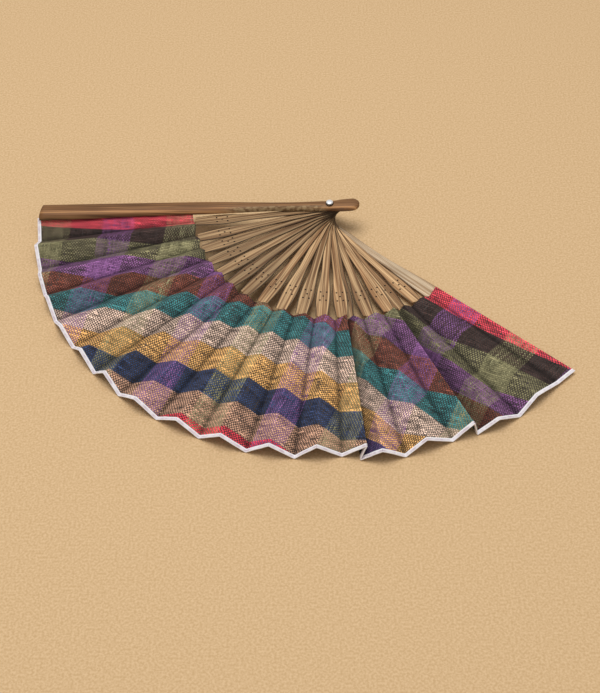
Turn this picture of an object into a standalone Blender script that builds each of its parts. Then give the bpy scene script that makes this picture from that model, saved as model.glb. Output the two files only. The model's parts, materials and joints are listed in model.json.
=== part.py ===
"""A folding fan: nineteen sticks on one rivet, and a pleated cloth leaf with a taped rim.

Metres, +Z up. The table is the plane z = 0 and the rivet stands over the origin. The fan lies spread
on the table, its upper guard along -X and its leaf towards -Y. Angles are in degrees round the rivet,
anticlockwise from +X. Stick 0 is the upper guard, 1 to 17 are ribs and 18 is the lower guard.
"""

from math import atan2, cos, degrees, hypot, radians, sin, sqrt, tan

import bmesh
import bpy
from mathutils import Vector

# Driving dimensions: the closed fan, how far it is spread, and its leaf
reach = 0.211  # from the rivet to a guard's tip
guard_handle = 0.0215  # from the rivet to a guard's other end
rib_handle = 0.0135
rib_count = 17
spread = 137.46  # between the two guards as the fan lies
upper_guard_angle = 178.66
leaf_inner = 0.0992
leaf_past_tips = 0.0020
leaf_rim = reach + leaf_past_tips
step_shares = (1.07, 1.037, 0.861, 1.036, 0.958, 0.961, 1.106, 1.165, 1.104,
               1.133, 1.07, 1.131, 0.328, 1.045, 1.193, 0.597, 1.191, 1.105)

# The rivet leans a little from the upright, so that the spread leaf rests on the table all round.
# These are the rises of the plane square to it, along +X and +Y, for each metre.
lean_x_share = 0.0268
lean_y_share = -0.0112

# Rivet
pin_radius = 0.0016
hole_radius = 0.0019
tail_radius = 0.0032
tail_thick = 0.0007
tail_edge = 0.0003
washer_radius = 0.0034
washer_thick = 0.0004
cap_radius = 0.00275
cap_rise = 0.0010
cap_rim = 0.0003
round_sides = 16

# Fit
gap = 0.0003  # between pieces that touch
weld = 0.00001  # points nearer than this are one
overrun = 0.002  # a cutter past the face that it cuts

# Guards
guard_thick = 0.0038
guard_tip_thick = 0.0050
lower_guard_thick = 0.0029
lower_guard_tip_thick = 0.0022
guard_head = 0.0058  # half the width of the rounded end
guard_at_rivet = 0.0044
guard_neck = 0.0034
guard_at_leaf = 0.0056
guard_tip = 0.0068
tip_slant = 0.0020  # the front corner of the tip runs this much further out
guard_shoulder = 0.0016  # how far the bark is drawn in from the cut edge
guard_edge = 0.0007  # the upright part of the cut edge
crown_share = 0.6
neck_at = 0.030
lower_guard_neck = 0.0031
lower_neck_at = 0.045
lower_guard_at_leaf = 0.0062

# Ribs: half widths, and where they are
rib_thick = 0.0007
tongue_end_thick = 0.0002
rib_pitch = 0.0010  # from rib to rib up the rivet
rib_head = 0.0040
rib_neck = 0.0026
rib_neck_out = 0.0029
rib_wide = 0.0052
rib_square_end = 0.0043
neck_start = 0.012
neck_end = 0.052
plank_to_leaf = 0.0022  # from the blade's square end to the leaf's inner edge
wide_to_end = 0.0150  # from the widest part to the blade's end
wide_long = 0.0020
plank_end = leaf_inner - plank_to_leaf
wide_end = plank_end - wide_to_end
wide_start = wide_end - wide_long
corner_round = 0.0012
bow = 0.0010  # by which a rib's blade is bent sideways at its small holes, where the share is 1
bow_shares = (0, -2.6, -0.6, -0.1, -0.4, -0.1, 0.3, -0.3, -0.7, -0.5,
              -0.6, -0.4, -0.6, -0.9, -0.3, -0.6, 0, -0.5, 0)

# The tongue that runs out behind the leaf, turned to lie against its pleat
tongue_width = 0.0030
tongue_turn = 41.0
tongue_from_crease = 0.0042  # from the crease to the tongue's middle
tongue_to_leaf = 0.0004
tongue_to_tip = 0.0050
tongue_root = leaf_inner - tongue_to_leaf
tongue_end = reach - tongue_to_tip

# Quincunx of small holes in each rib
dot_radius = 0.00058
dots_to_leaf = 0.0212
dots_at = leaf_inner - dots_to_leaf
dots_long = 0.0077
dots_wide = 0.0042
dot_sides = 6

# Leaf
cloth = 0.00025
tape = 0.0006
tape_width = 0.0050
valley_rest = 0.0005  # height of the valley creases where they rest on the table
valley_angle = 26.0  # of the glued panel at the leaf's inner edge
deep_fold_angle = 39.0  # the same for a tucked one
rim_pitch = 0.0007  # from crease to crease up the closed stack, at the rim
low_rim_pitch = 0.0019  # the same for the lowest ribs, which lie flatter
low_rib_count = 2
lowest_crease = 0.0026  # rib 17's crease over the leaned plane, at the rim
valley_inner_share = 0.45  # where a valley runs, from one ridge to the next
valley_rim_shares = (0.51, 0.51, 0.51, 0.52, 0.52, 0.57, 0.47, 0.5, 0.5,
                     0.53, 0.54, 0.51, -0.45, 0.52, 0.56, 0.12, 0.52, 0.57)
ridge_reach_shares = (1, 1.0026, 1.0015, 0.9994, 1.002, 0.9969, 0.9945, 1.0045, 1.0025, 1.0044,
                      1.0016, 0.9929, 0.9921, 1.0129, 0.9993, 0.9937, 1.0081, 0.9982, 1)
ridge_inner_shares = (1, 0.979, 0.976, 0.976, 0.983, 0.977, 0.986, 1, 0.993, 0.994,
                      0.993, 0.982, 0.984, 0.993, 0.994, 0.994, 0.999, 0.999, 0.971)
ridge_side_shares = (1, 1.09, 1.42, 1.41, 1.32, 1.19, 1.42, 1.23, 1.07, 0.93,
                     0.85, 0.71, 0.69, 0.79, 1.42, 0.87, 0.93, 0.44, 1)
valley_reach_shares = (1, 1, 1, 1.0002, 0.996, 0.9995, 1.0009, 1.0015, 1.0021,
                       1.0031, 0.9983, 0.9838, 1, 1.008, 0.9934, 1, 1.0076, 0.9952)
rim_rise = 0.0010  # by which the leaf stands off a rib at the rim, where the share is 1
rim_rise_shares = (0, 0, 0, 0.1, 0, 0.4, 0.6, 0, 0, 0,
                   0, 0.7, 0.8, 0, 0.1, 0.6, 0, 0.2, 0)
deep_fold_shares = {12: -0.15, 15: 0.42}  # valleys that are tucked in, with their inner shares
first_crease_side = 0.0040  # from the upper guard's middle to the leaf's first crease
end_edge_inner = 0.0055  # from the lower guard's middle to the leaf's end
end_edge_rim = 0.0103
panel_step_count = 4

last = rib_count + 1
turn = radians(tongue_turn)
cloth_to_tongue = cloth / 2 + gap / 2 + rib_thick / 4
crease_side = tongue_from_crease * cos(turn) - cloth_to_tongue * sin(turn)
crease_over = tongue_from_crease * sin(turn) + cloth_to_tongue * cos(turn)

up = Vector((0, 0, 1))
lean = up.rotation_difference(Vector((-lean_x_share, -lean_y_share, 1)).normalized()).to_matrix()
flat = lean.inverted()


def stick_angles():
    """The angle of each stick's middle line, from the upper guard to the lower."""
    found = [upper_guard_angle]
    for share in step_shares:
        found.append(found[-1] + spread * share / sum(step_shares))
    return found


angles = stick_angles()

# Levels up the rivet
lower_guard_base = tail_thick + gap
first_rib_base = lower_guard_base + lower_guard_thick + gap
upper_guard_base = first_rib_base + rib_count * rib_pitch
washer_base = upper_guard_base + guard_thick + gap
cap_base = washer_base + washer_thick + gap


def mixed(a, b, share):
    return a + (b - a) * share


def rim_crease_level(k):
    """How high rib k's crease stands at the rim, over the leaned plane."""
    above = rib_count - k
    low = min(above, low_rib_count)
    return lowest_crease + low * low_rim_pitch + (above - low) * rim_pitch


def rib_level(k, x):
    """The middle of rib k's thickness, x along it."""
    at_rivet = first_rib_base + rib_thick / 2 + (rib_count - k) * rib_pitch
    return mixed(at_rivet, rim_crease_level(k) - crease_over, x / reach)


def rib_thickness(x):
    return mixed(rib_thick, tongue_end_thick, max(x, 0) / reach)


def upper_guard_level(x):
    """The underside of the upper guard: clear of the highest crease at its tip."""
    tip = rim_crease_level(1) + cloth + gap
    return mixed(upper_guard_base, tip, x / reach)


def lower_guard_level(x):
    """The underside of the lower guard, which comes down to the table at its tip."""
    tip_plane = flat @ Vector((reach * cos(radians(angles[last])), reach * sin(radians(angles[last])), 0))
    return mixed(lower_guard_base, tip_plane.z, x / reach)


def lower_guard_top(x):
    return lower_guard_level(x) + mixed(lower_guard_thick, lower_guard_tip_thick, x / reach)


def on_stick(k, x, y, z):
    """A point in stick k's own frame, as a place in the world."""
    a = radians(angles[k])
    return lean @ Vector((x * cos(a) - y * sin(a), x * sin(a) + y * cos(a), z))


def ridge(k, x):
    """The mountain crease that stick k carries. x is its distance from the rivet if it ran to leaf_rim."""
    share = (x - leaf_inner) / (leaf_rim - leaf_inner)
    x = mixed(leaf_inner * ridge_inner_shares[k], leaf_rim * ridge_reach_shares[k], share)
    if k == 0:
        return on_stick(0, x, first_crease_side, upper_guard_level(x) - gap - cloth)
    if k == last:
        side = mixed(end_edge_inner, end_edge_rim, share)
        return on_stick(last, x, side, lower_guard_top(x) + gap + cloth)
    rise = rim_rise * rim_rise_shares[k] * share
    side = crease_side * mixed(ridge_side_shares[k], 1, share)
    return on_stick(k, x, side, rib_level(k, x) + crease_over + rise)


def turned(p):
    """The angle of a place round the rivet, from 0 to 360."""
    return degrees(atan2(p.y, p.x)) % 360


def valley_end(k, x, share, reach_share=1):
    """A place between ridges k and k + 1, at a share of the plan distance x, with no height yet."""
    a, b = turned(ridge(k, x)), turned(ridge(k + 1, x))
    at = radians(mixed(a, b, share))
    return Vector((x * cos(at), x * sin(at), 0)) * reach_share


def on_lower_guard(p):
    """The height of the leaf where it lies on the lower guard."""
    x = hypot(p.x, p.y)
    return on_stick(last, x, 0, lower_guard_top(x) + gap + cloth).z


def valley(k, x):
    """The valley crease between ridges k and k + 1, at the distance x."""
    inner = valley_end(k, leaf_inner, deep_fold_shares.get(k, valley_inner_share))
    rim = valley_end(k, leaf_rim, valley_rim_shares[k], valley_reach_shares[k])
    if k == last - 1:
        inner.z, rim.z = on_lower_guard(inner), on_lower_guard(rim)
    else:
        beside = ridge(k + 1, leaf_inner)
        away = hypot(beside.x - inner.x, beside.y - inner.y)
        angle = deep_fold_angle if k in deep_fold_shares else valley_angle
        inner.z = beside.z - away * tan(radians(angle))
        rim.z = valley_rest
    return inner.lerp(rim, (x - leaf_inner) / (leaf_rim - leaf_inner))


def collection(name):
    made = bpy.data.collections.new(name)
    bpy.context.scene.collection.children.link(made)
    return made


def material(name, colour, roughness, metallic=0.0):
    made = bpy.data.materials.new(name)
    made.use_nodes = True
    shader = made.node_tree.nodes["Principled BSDF"]
    shader.inputs["Base Color"].default_value = (*colour, 1)
    shader.inputs["Roughness"].default_value = roughness
    shader.inputs["Metallic"].default_value = metallic
    return made


def add_object(name, bm, into, finish=None, parent=None, angle=0.0):
    """A mesh object from bm, turned by angle about the rivet in its parent's frame."""
    mesh = bpy.data.meshes.new(name)
    bm.to_mesh(mesh)
    bm.free()
    made = bpy.data.objects.new(name, mesh)
    into.objects.link(made)
    if finish:
        mesh.materials.append(finish)
    made.parent = parent
    made.rotation_euler.z = radians(angle)
    return made


def loft(sections):
    """A closed bar through sections that have the same number of points."""
    bm = bmesh.new()
    rings = [[bm.verts.new(p) for p in section] for section in sections]
    count = len(rings[0])
    for near, far in zip(rings, rings[1:]):
        for i in range(count):
            j = (i + 1) % count
            bm.faces.new((near[i], near[j], far[j], far[i]))
    bm.faces.new(list(reversed(rings[0])))
    bm.faces.new(rings[-1])
    bmesh.ops.recalc_face_normals(bm, faces=bm.faces)
    return bm


def outline(x, places):
    """A half width at x, read from (place, half width) pairs with smooth runs between them."""
    for (x0, w0), (x1, w1) in zip(places, places[1:]):
        if x <= x1:
            t = max(0.0, (x - x0) / (x1 - x0))
            return mixed(w0, w1, t * t * (3 - 2 * t))
    return places[-1][1]


def round_end(x, length, half):
    """How much narrower a bar is near its round end at -length: 1 where it is full."""
    inside = x + length
    if inside >= half:
        return 1.0
    return sqrt(max(0.0, 1 - ((half - inside) / half) ** 2))


def end_stations(length, half, steps=5):
    """Places along a round end, close together where it turns."""
    return [-length + half * (1 - cos(radians(90 * (i + 0.35) / steps))) for i in range(steps)]


rib_places = (
    (-rib_handle, rib_head),
    (0.0, rib_head),
    (neck_start, rib_neck),
    (neck_end, rib_neck_out),
    (wide_start, rib_wide),
    (wide_end, rib_wide),
    (plank_end, rib_square_end),
)
guard_places = (
    (-guard_handle, guard_head),
    (-guard_handle / 2, guard_head),
    (0.0, guard_at_rivet),
    (neck_at, guard_neck),
    (leaf_inner, guard_at_leaf),
    (reach, guard_tip),
)
lower_guard_places = guard_places[:3] + (
    (lower_neck_at, lower_guard_neck),
    (leaf_inner, lower_guard_at_leaf),
    (reach, guard_tip),
)


def bowed(k, x):
    """How far rib k's blade is bent sideways at x. The tongue behind the leaf is straight again."""
    return bow * bow_shares[k] * (max(x, 0.0) / dots_at) ** 2 if x < tongue_root else 0.0


def rib_section(k, x, half, share):
    """Four corners of rib k at x. The share says how far the tongue is turned."""
    thick, a, side = rib_thickness(x) / 2, turn * share, bowed(k, x)
    corners = ((-half, -thick), (half, -thick), (half, thick), (-half, thick))
    return [(x, side + y * cos(a) - z * sin(a), rib_level(k, x) + y * sin(a) + z * cos(a)) for y, z in corners]


def make_rib(k, into, cutters, finish, axis):
    """A bamboo slat: round head, narrow neck, wide blade, and a tongue behind the leaf."""
    at = end_stations(rib_handle, rib_head)
    at += [0.0, neck_start / 2, neck_start, mixed(neck_start, neck_end, 0.5), neck_end]
    at += [mixed(neck_end, wide_start, i / 4) for i in range(1, 5)]
    at += [wide_end, plank_end - corner_round]
    sections = [rib_section(k, x, outline(x, rib_places) * round_end(x, rib_handle, rib_head), 0) for x in at]
    sections.append(rib_section(k, plank_end, rib_square_end - corner_round, 0))
    sections.append(rib_section(k, plank_end + corner_round / 3, tongue_width / 2, 0))
    for x in (tongue_root, mixed(tongue_root, tongue_end, 0.5), tongue_end):
        sections.append(rib_section(k, x, tongue_width / 2, 1))
    rib = add_object(f"rib_{k:02d}", loft(sections), into, finish, axis, angles[k])
    bm = bmesh.new()
    add_drill(bm, 0.0, 0.0, rib_level(k, 0.0), hole_radius, round_sides)
    for x, y in dot_places():
        add_drill(bm, x, y + bowed(k, x), rib_level(k, x), dot_radius, dot_sides)
    drill = add_object(f"rib_drill_{k:02d}", bm, cutters, None, axis, angles[k])
    cut(rib, drill)
    return rib


def dot_places():
    """Four holes at the corners of a small oblong and one in its middle."""
    corners = [(dots_at + i * dots_long / 2, j * dots_wide / 2) for i in (-1, 1) for j in (-1, 1)]
    return corners + [(dots_at, 0.0)]


def add_drill(bm, x, y, z, radius, sides):
    made = bmesh.ops.create_cone(bm, cap_ends=True, segments=sides, radius1=radius, radius2=radius,
                                 depth=2 * overrun + guard_tip_thick)
    bmesh.ops.translate(bm, verts=made["verts"], vec=(x, y, z))


def cut(piece, cutter):
    cutter.hide_render = True
    cutter.display_type = "WIRE"
    modifier = piece.modifiers.new("holes", "BOOLEAN")
    modifier.operation = "DIFFERENCE"
    modifier.solver = "EXACT"
    modifier.object = cutter


def guard_section(x, half, base, thick, face):
    """Eight points of a guard at x: a flat inner face at base, and rounded bark on the face side."""
    top = max(half - guard_shoulder, half * crown_share)
    outline_points = ((-half, 0), (half, 0), (half, guard_edge), (top, thick - guard_edge),
                      (top * crown_share, thick), (-top * crown_share, thick),
                      (-top, thick - guard_edge), (-half, guard_edge))
    return [(x, y, base + z * face) for y, z in outline_points]


def make_guard(name, k, places, inner_level, root_thick, tip_thick, face, into, cutters, finish, axis):
    """A thick outer stick. Its flat inner face is at inner_level(x) and its bark is towards face."""
    neck = places[3][0]
    at = end_stations(guard_handle, guard_head)
    at += [-guard_handle / 2, -guard_handle / 4, 0.0, neck / 2, neck]
    at += [mixed(neck, leaf_inner, 0.5), leaf_inner, mixed(leaf_inner, reach, 0.5), reach]
    sections = []
    for x in at:
        half = outline(x, places) * round_end(x, guard_handle, guard_head)
        thick = mixed(root_thick, tip_thick, max(x, 0) / reach)
        sections.append(guard_section(x, half, inner_level(x), thick, face))
    sections[-1] = [(x + tip_slant * (y / guard_tip - 1) / 2, y, z) for x, y, z in sections[-1]]
    guard = add_object(name, loft(sections), into, finish, axis, angles[k])
    bm = bmesh.new()
    add_drill(bm, 0.0, 0.0, inner_level(0.0) + face * root_thick / 2, hole_radius, round_sides)
    drill = add_object(name + "_drill", bm, cutters, None, axis, angles[k])
    cut(guard, drill)
    return guard


def turned_solid(name, profile, into, finish, axis):
    """A round piece about the rivet's axis: a profile of (radius, height), turned with Screw."""
    bm = bmesh.new()
    verts = [bm.verts.new((r, 0, z)) for r, z in profile]
    for a, b in zip(verts, verts[1:]):
        bm.edges.new((a, b))
    if profile[0][0] > 0:
        bm.edges.new((verts[-1], verts[0]))
    made = add_object(name, bm, into, finish, axis)
    screw = made.modifiers.new("turn", "SCREW")
    screw.steps = screw.render_steps = round_sides
    screw.use_merge_vertices = True
    screw.merge_threshold = weld
    screw.use_normal_calculate = True
    return made


def make_rivet(into, steel, dark, axis):
    """The pin with its tail under the lower guard, a dark washer, and a bright domed cap."""
    tail_top = tail_thick
    turned_solid("rivet_pin", ((0, 0), (tail_radius, 0), (tail_radius, tail_top - tail_edge),
                               (tail_radius - tail_edge, tail_top), (pin_radius, tail_top),
                               (pin_radius, washer_base + washer_thick), (0, washer_base + washer_thick)),
                 into, steel, axis)
    turned_solid("rivet_washer", ((hole_radius, washer_base + washer_thick),
                                  (washer_radius - washer_thick / 2, washer_base + washer_thick),
                                  (washer_radius, washer_base + washer_thick / 2),
                                  (washer_radius, washer_base), (hole_radius, washer_base)),
                 into, dark, axis)
    dome = [(0, cap_base), (cap_radius, cap_base)]
    for i in range(5, 0, -1):
        a = radians(90 * i / 5)
        dome.append((cap_radius * sin(a), cap_base + cap_rim + cap_rise * cos(a)))
    dome.append((0, cap_base + cap_rim + cap_rise))
    turned_solid("rivet_cap", dome, into, steel, axis)


def crease_room(here, there, thick):
    """How far a panel's mid-surface stops short of a crease, so that the two panels stay clear."""
    between = here.angle(there)
    return thick / 2 / tan(between / 2) + gap / 2


def panel_section(left, right, beyond_left, beyond_right, x, thick):
    """Four corners of a strip between two creases, which are functions of the distance x."""
    a, b = left(x), right(x)
    across = (b - a).normalized()
    along = (left(leaf_rim) - left(leaf_inner)).normalized()
    over = across.cross(along).normalized() * thick / 2
    room_a = crease_room(across, beyond_left(x) - a, tape) if beyond_left else 0
    room_b = crease_room(-across, beyond_right(x) - b, tape) if beyond_right else 0
    a += across * room_a
    b -= across * room_b
    return [a - over, b - over, b + over, a + over]


def make_leaf_panel(name, left, right, beyond_left, beyond_right, into, finish):
    """One panel of the leaf: cloth, and the thicker tape that is folded over it at the rim."""
    tape_start = leaf_rim - tape_width
    stations = [(mixed(leaf_inner, tape_start, i / panel_step_count), cloth) for i in range(panel_step_count + 1)]
    stations += [(tape_start + tape / 2, tape), (leaf_rim, tape)]
    sections = [panel_section(left, right, beyond_left, beyond_right, x, thick) for x, thick in stations]
    bm = loft(sections)
    bmesh.ops.triangulate(bm, faces=bm.faces)
    return add_object(name, bm, into, finish)


def make_leaf(into, finish):
    """Eighteen pleats: a free panel from each ridge down to the valley, and a glued one up again."""
    for k in range(last):
        def rise(x, k=k):
            return ridge(k, x)

        def low(x, k=k):
            return valley(k, x)

        def next_rise(x, k=k):
            return ridge(k + 1, x)

        def low_before(x, k=k):
            return valley(k - 1, x)

        def low_after(x, k=k):
            return valley(k + 1, x)

        make_leaf_panel(f"leaf_free_{k + 1:02d}", rise, low, low_before if k else None, next_rise,
                        into, finish)
        make_leaf_panel(f"leaf_glued_{k + 1:02d}", low, next_rise, rise,
                        low_after if k + 1 < last else None, into, finish)


def main():
    for old in list(bpy.data.objects):
        bpy.data.objects.remove(old)
    parts = collection("folding_fan")
    cutters = collection("cutters")
    bamboo = material("bamboo_rib", (0.42, 0.29, 0.18), 0.55)
    bark = material("bamboo_guard", (0.22, 0.13, 0.075), 0.45)
    leaf_cloth = material("leaf_cloth", (0.30, 0.20, 0.28), 0.85)
    steel = material("rivet_steel", (0.8, 0.8, 0.8), 0.25, 1.0)
    dark = material("washer_dark", (0.06, 0.05, 0.05), 0.5, 0.6)
    axis = bpy.data.objects.new("rivet_axis", None)
    parts.objects.link(axis)
    axis.rotation_euler = lean.to_euler()
    make_guard("upper_guard", 0, guard_places, upper_guard_level, guard_thick, guard_tip_thick, 1,
               parts, cutters, bark, axis)
    for k in range(1, last):
        make_rib(k, parts, cutters, bamboo, axis)
    make_guard("lower_guard", last, lower_guard_places, lower_guard_top, lower_guard_thick,
               lower_guard_tip_thick, -1, parts, cutters, bark, axis)
    make_rivet(parts, steel, dark, axis)
    bpy.context.view_layer.update()
    make_leaf(parts, leaf_cloth)


main()
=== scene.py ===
import json
from math import asin, atan2, cos, degrees, hypot, pi, radians, sin, sqrt, tan

import bmesh
import bpy
from mathutils import Matrix, Vector, noise

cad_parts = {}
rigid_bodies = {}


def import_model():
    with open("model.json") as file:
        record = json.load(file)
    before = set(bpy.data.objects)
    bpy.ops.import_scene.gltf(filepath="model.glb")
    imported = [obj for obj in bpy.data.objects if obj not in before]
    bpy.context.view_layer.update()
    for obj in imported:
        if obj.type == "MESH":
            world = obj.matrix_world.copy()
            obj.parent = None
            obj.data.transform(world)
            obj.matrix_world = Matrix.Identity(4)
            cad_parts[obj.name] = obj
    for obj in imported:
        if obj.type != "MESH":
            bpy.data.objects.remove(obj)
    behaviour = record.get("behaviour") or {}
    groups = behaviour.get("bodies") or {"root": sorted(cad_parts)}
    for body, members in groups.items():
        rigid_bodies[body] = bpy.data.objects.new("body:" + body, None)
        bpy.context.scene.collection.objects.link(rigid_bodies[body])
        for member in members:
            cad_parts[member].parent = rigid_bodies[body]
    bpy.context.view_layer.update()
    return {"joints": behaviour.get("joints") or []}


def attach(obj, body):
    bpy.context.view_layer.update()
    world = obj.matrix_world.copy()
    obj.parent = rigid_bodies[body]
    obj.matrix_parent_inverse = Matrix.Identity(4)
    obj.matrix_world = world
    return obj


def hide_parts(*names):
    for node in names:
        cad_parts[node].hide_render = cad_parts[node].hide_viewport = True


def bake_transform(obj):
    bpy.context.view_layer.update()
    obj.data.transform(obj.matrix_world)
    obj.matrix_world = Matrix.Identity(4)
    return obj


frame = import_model()

# %% [markdown]
# ## The camera
#
# The picture was taken from about 48 degrees above the table, a little to the left of the rivet.
# The place, tilt and lens were worked out from points of the fan whose real places are known,
# so a piece that is put where the solids say falls on the right part of the picture.
# %% Camera
camera_elevation = 48.285
camera_roll = -0.115
camera_at = Vector((-0.0222, -0.7307, 0.6901))
picture_width = 600
focal_length = 1363.5  # in points of the picture
film_width = 36.0
nearest_seen = 0.01

camera_data = bpy.data.cameras.new("camera")
camera_data.sensor_fit = "HORIZONTAL"
camera_data.sensor_width = film_width
camera_data.lens = film_width * focal_length / picture_width
camera_data.clip_start = nearest_seen
camera = bpy.data.objects.new("camera", camera_data)
bpy.context.scene.collection.objects.link(camera)
tilt = Matrix.Rotation(radians(90 - camera_elevation), 4, "X")
camera.matrix_world = Matrix.Translation(camera_at) @ tilt @ Matrix.Rotation(radians(camera_roll), 4, "Z")
bpy.context.scene.camera = camera
print("Lens in millimetres:", round(camera_data.lens, 2))

# %% [markdown]
# ## The fan's own sizes
#
# These are the sizes that the solids were made with. Sticks are numbered from the upper guard, 0,
# to the lower guard, 18. Each stick has its own frame: x runs along it from the rivet,
# y across it, and z up the rivet. The rivet leans a little, because a spread fan rests
# on its lower guard and on the folds of its leaf.
# %% Sizes shared by every piece
reach = 0.211
guard_handle = 0.0215
rib_handle = 0.0135
rib_count = 17
last = rib_count + 1
spread = 137.46
upper_guard_angle = 178.66
leaf_inner = 0.0992
leaf_rim = 0.213
step_shares = (1.07, 1.037, 0.861, 1.036, 0.958, 0.961, 1.106, 1.165, 1.104,
               1.133, 1.07, 1.131, 0.328, 1.045, 1.193, 0.597, 1.191, 1.105)
lean_x_share = 0.0268
lean_y_share = -0.0112
gap = 0.0003

rib_thick = 0.0007
rib_pitch = 0.0010
tongue_end_thick = 0.0002
bow = 0.0010
bow_shares = (0, -2.6, -0.6, -0.1, -0.4, -0.1, 0.3, -0.3, -0.7, -0.5,
              -0.6, -0.4, -0.6, -0.9, -0.3, -0.6, 0, -0.5, 0)
tail_thick = 0.0007
lower_guard_thick = 0.0029
lower_guard_tip_thick = 0.0022
guard_thick = 0.0038
guard_tip_thick = 0.0050
washer_thick = 0.0004

cloth = 0.00025
lowest_crease = 0.0026
rim_pitch = 0.0007
low_rim_pitch = 0.0019
low_rib_count = 2
tongue_turn = 41.0
tongue_root = 0.0988
dots_at = 0.0780
tongue_from_crease = 0.0042
valley_rest = 0.0005
valley_angle = 26.0
deep_fold_angle = 39.0
valley_inner_share = 0.45
valley_rim_shares = (0.51, 0.51, 0.51, 0.52, 0.52, 0.57, 0.47, 0.5, 0.5,
                     0.53, 0.54, 0.51, -0.45, 0.52, 0.56, 0.12, 0.52, 0.57)
ridge_reach_shares = (1, 1.0026, 1.0015, 0.9994, 1.002, 0.9969, 0.9945, 1.0045, 1.0025, 1.0044,
                      1.0016, 0.9929, 0.9921, 1.0129, 0.9993, 0.9937, 1.0081, 0.9982, 1)
ridge_inner_shares = (1, 0.979, 0.976, 0.976, 0.983, 0.977, 0.986, 1, 0.993, 0.994,
                      0.993, 0.982, 0.984, 0.993, 0.994, 0.994, 0.999, 0.999, 0.971)
ridge_side_shares = (1, 1.09, 1.42, 1.41, 1.32, 1.19, 1.42, 1.23, 1.07, 0.93,
                     0.85, 0.71, 0.69, 0.79, 1.42, 0.87, 0.93, 0.44, 1)
valley_reach_shares = (1, 1, 1, 1.0002, 0.996, 0.9995, 1.0009, 1.0015, 1.0021,
                       1.0031, 0.9983, 0.9838, 1, 1.008, 0.9934, 1, 1.0076, 0.9952)
rim_rise = 0.0010
rim_rise_shares = (0, 0, 0, 0.1, 0, 0.4, 0.6, 0, 0, 0,
                   0, 0.7, 0.8, 0, 0.1, 0.6, 0, 0.2, 0)
deep_fold_shares = {12: -0.15, 15: 0.42}
first_crease_side = 0.0040
end_edge_inner = 0.0055
end_edge_rim = 0.0103
print("Sticks:", last + 1, "and pleats:", len(step_shares))

# %% [markdown]
# ## From a stick's own frame to the table
#
# The same few rules that placed the solids place the finer pieces, so that each one lies
# where the solid that it stands for does. The ribs fan out in a stack at the rivet, and at the rim
# each is just under its crease. `on_stick` takes a point in a stick's own frame to the table.
# %% Levels
up_rivet = Vector((-lean_x_share, -lean_y_share, 1)).normalized()
lean = Vector((0, 0, 1)).rotation_difference(up_rivet).to_matrix()
lean_back = lean.inverted()
turn = radians(tongue_turn)
cloth_to_tongue = cloth / 2 + gap / 2 + rib_thick / 4
crease_side = tongue_from_crease * cos(turn) - cloth_to_tongue * sin(turn)
crease_over = tongue_from_crease * sin(turn) + cloth_to_tongue * cos(turn)

angles = [upper_guard_angle]
for share in step_shares:
    angles.append(angles[-1] + spread * share / sum(step_shares))

lower_guard_base = tail_thick + gap
first_rib_base = lower_guard_base + lower_guard_thick + gap
upper_guard_base = first_rib_base + rib_count * rib_pitch
washer_base = upper_guard_base + guard_thick + gap
cap_base = washer_base + washer_thick + gap


def mixed(a, b, share):
    """From a to b, a share of the way."""
    return a + (b - a) * share


def rim_crease_level(k):
    above = rib_count - k
    low = min(above, low_rib_count)
    return lowest_crease + low * low_rim_pitch + (above - low) * rim_pitch


def rib_level(k, x):
    at_rivet = first_rib_base + rib_thick / 2 + (rib_count - k) * rib_pitch
    return mixed(at_rivet, rim_crease_level(k) - crease_over, x / reach)


def bowed(k, x):
    """How far rib k's blade is bent sideways at x."""
    return bow * bow_shares[k] * (max(x, 0.0) / dots_at) ** 2 if x < tongue_root else 0.0


def rib_thickness(x):
    return mixed(rib_thick, tongue_end_thick, max(x, 0) / reach)


def upper_guard_level(x):
    return mixed(upper_guard_base, rim_crease_level(1) + cloth + gap, x / reach)


def lower_guard_level(x):
    tip = Vector((reach * cos(radians(angles[last])), reach * sin(radians(angles[last])), 0))
    return mixed(lower_guard_base, (lean_back @ tip).z, x / reach)


def lower_guard_top(x):
    return lower_guard_level(x) + mixed(lower_guard_thick, lower_guard_tip_thick, x / reach)


def on_stick(k, x, y, z):
    """A point in stick k's own frame, as a place over the table."""
    a = radians(angles[k])
    return lean @ Vector((x * cos(a) - y * sin(a), x * sin(a) + y * cos(a), z))


print("The cap's lower face in metres up the rivet:", round(cap_base, 4))


# %% [markdown]
# ## The creases of the leaf
#
# A ridge runs along each stick, and a valley lies between two ridges. At the rim each valley rests
# on the table, all but the last, which lies on the lower guard. Every crease is a straight line,
# so its two ends say where it is. In two places a pleat is tucked in beside its neighbour,
# as happens in a real fan that isn't spread evenly.
# %% Creases
def ridge(k, x):
    """The point of ridge k at x, where the leaf's outer side is creased over stick k."""
    share = (x - leaf_inner) / (leaf_rim - leaf_inner)
    x = mixed(leaf_inner * ridge_inner_shares[k], leaf_rim * ridge_reach_shares[k], share)
    if k == 0:
        return on_stick(0, x, first_crease_side, upper_guard_level(x) - gap - cloth)
    if k == last:
        side = mixed(end_edge_inner, end_edge_rim, share)
        return on_stick(last, x, side, lower_guard_top(x) + gap + cloth)
    rise = rim_rise * rim_rise_shares[k] * share
    side = crease_side * mixed(ridge_side_shares[k], 1, share)
    return on_stick(k, x, side, rib_level(k, x) + crease_over + rise)


def valley_end(k, x, share, reach_share=1):
    """Where the valley after ridge k is at x, seen from above. share is how far on to the next ridge."""
    a, b = [degrees(atan2(p.y, p.x)) % 360 for p in (ridge(k, x), ridge(k + 1, x))]
    at = radians(mixed(a, b, share))
    return Vector((x * cos(at), x * sin(at), 0)) * reach_share


def on_lower_guard(p):
    """How high cloth lies that rests on the lower guard at p."""
    x = hypot(p.x, p.y)
    return on_stick(last, x, 0, lower_guard_top(x) + gap + cloth).z


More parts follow.
